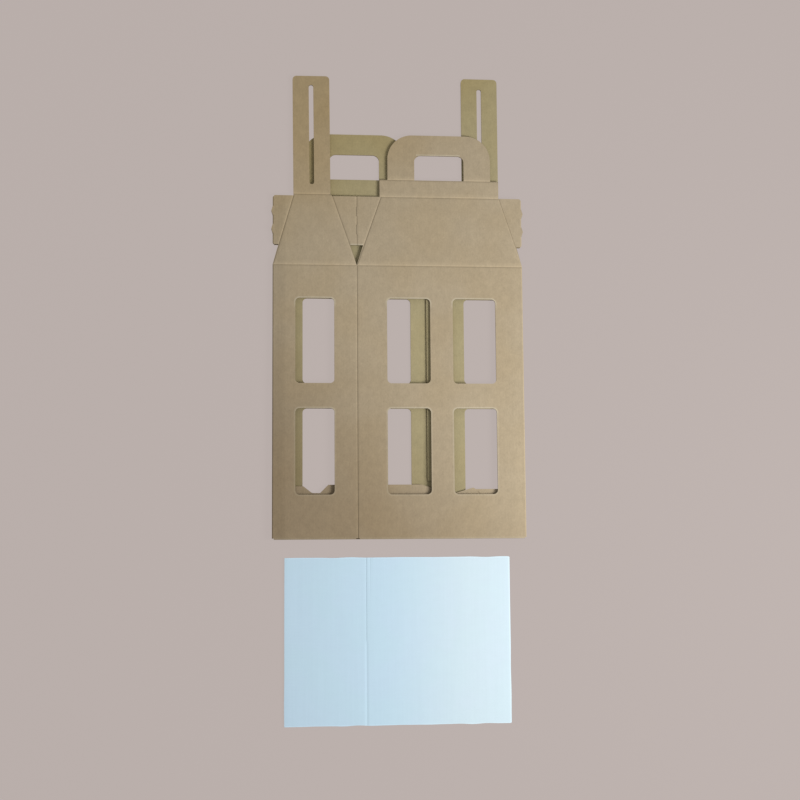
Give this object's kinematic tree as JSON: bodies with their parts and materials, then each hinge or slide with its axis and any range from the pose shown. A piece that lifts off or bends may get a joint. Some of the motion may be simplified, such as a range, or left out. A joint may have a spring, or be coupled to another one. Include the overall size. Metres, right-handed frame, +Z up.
{
  "type": "bottle shipping box",
  "caption": "Corrugated card bottle carrier, folded flat, with windows, slotted straps, handle arches and a loose creased insert.",
  "frame": {"origin": "centre of the bounding box's underside, on the surface that the flat box lies on", "axes": "+Z up out of the surface, +Y from the insert towards the straps and handle arches, +X to the right seen from above with +Y away from the viewer"},
  "size_m": [0.273, 0.6966, 0.0076],
  "materials": {
    "kraft_board": "matt kraft liner on fine corrugated board, plain cut edges",
    "white_board": "matt pale liner on fine corrugated board, plain cut edges"
  },
  "bodies": {
    "root": {"carton_sleeve": "kraft_board", "insert_sheet": "white_board"},
    "left_strap": {"left_strap": "kraft_board"},
    "front_neck": {"front_neck": "kraft_board"},
    "front_handle": {"front_handle": "kraft_board"}
  },
  "joints": [
    {"name": "left_strap_fold", "type": "hinge", "parent": "root", "child": "left_strap", "pos_m": [-0.093, 0.21585, 0.00459], "axis": [1, 0, 0], "range_deg": [0, 175]},
    {"name": "front_neck_fold", "type": "hinge", "parent": "root", "child": "front_neck", "pos_m": [0.045, 0.21395, 0.0046], "axis": [1, 0, 0], "range_deg": [0, 90]},
    {"name": "front_handle_fold", "type": "hinge", "parent": "front_neck", "child": "front_handle", "pos_m": [0.045, 0.23295, 0.00444], "axis": [1, 0, 0], "range_deg": [0, 90]}
  ]
}
